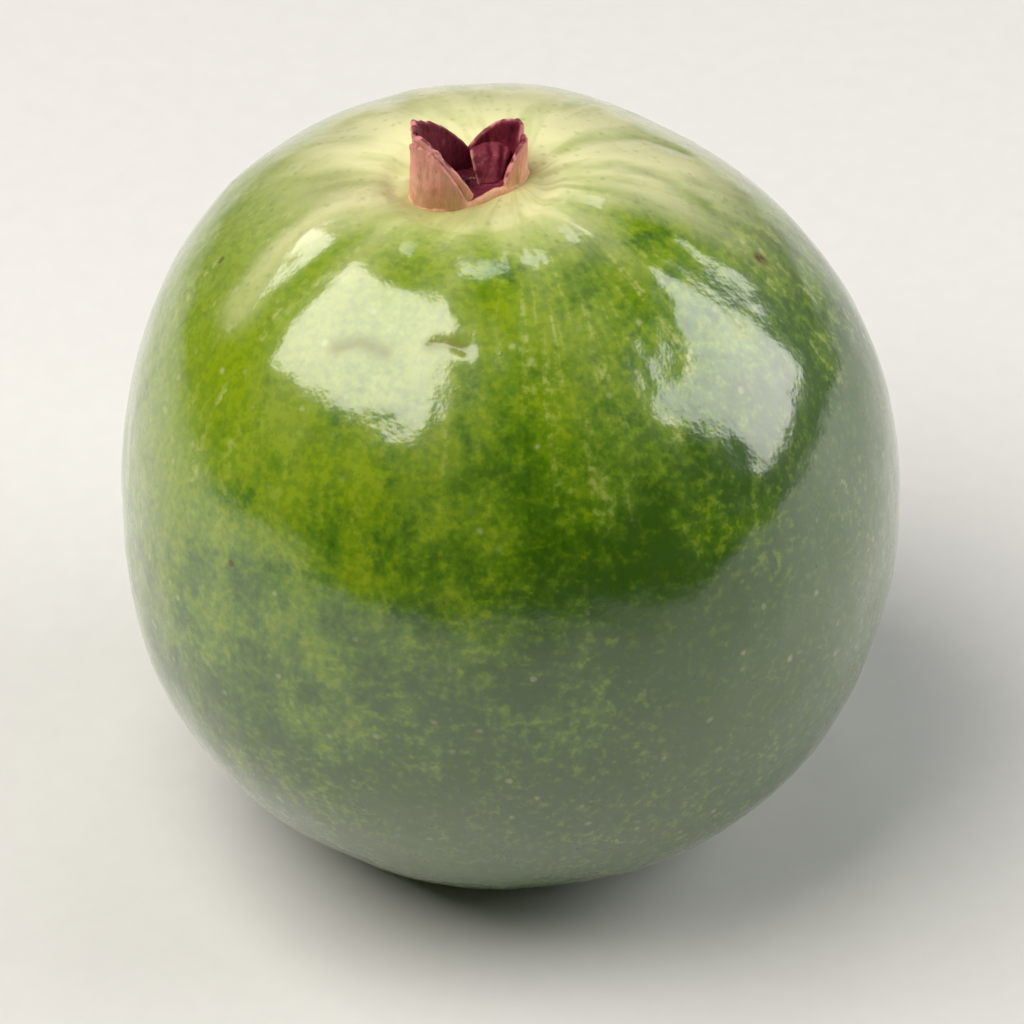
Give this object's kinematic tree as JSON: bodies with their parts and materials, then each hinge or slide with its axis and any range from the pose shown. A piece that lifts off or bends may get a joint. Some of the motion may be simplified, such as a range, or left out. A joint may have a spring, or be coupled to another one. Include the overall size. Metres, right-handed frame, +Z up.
{
  "type": "guava",
  "caption": "Whole round green guava standing on its stalk end, with its dried open calyx on top and a short stalk stub in the hollow underneath.",
  "frame": {"origin": "middle of the object's box, on the surface that the fruit stands on", "axes": "+Z up from the stalk end to the calyx; -Y is the side that the picture was taken from, +X to its right"},
  "size_m": [0.0816, 0.0824, 0.0853],
  "materials": {
    "skin": "glossy green fruit skin, mottled yellow green to deep green, with fine pale dots",
    "calyx": "dry, matt, brownish pink outside and dark maroon inside",
    "stalk": "rough brown bark with a paler cut end"
  },
  "bodies": {
    "root": {"fruit": "skin", "calyx": "calyx", "stalk_stub": "stalk"}
  },
  "joints": []
}
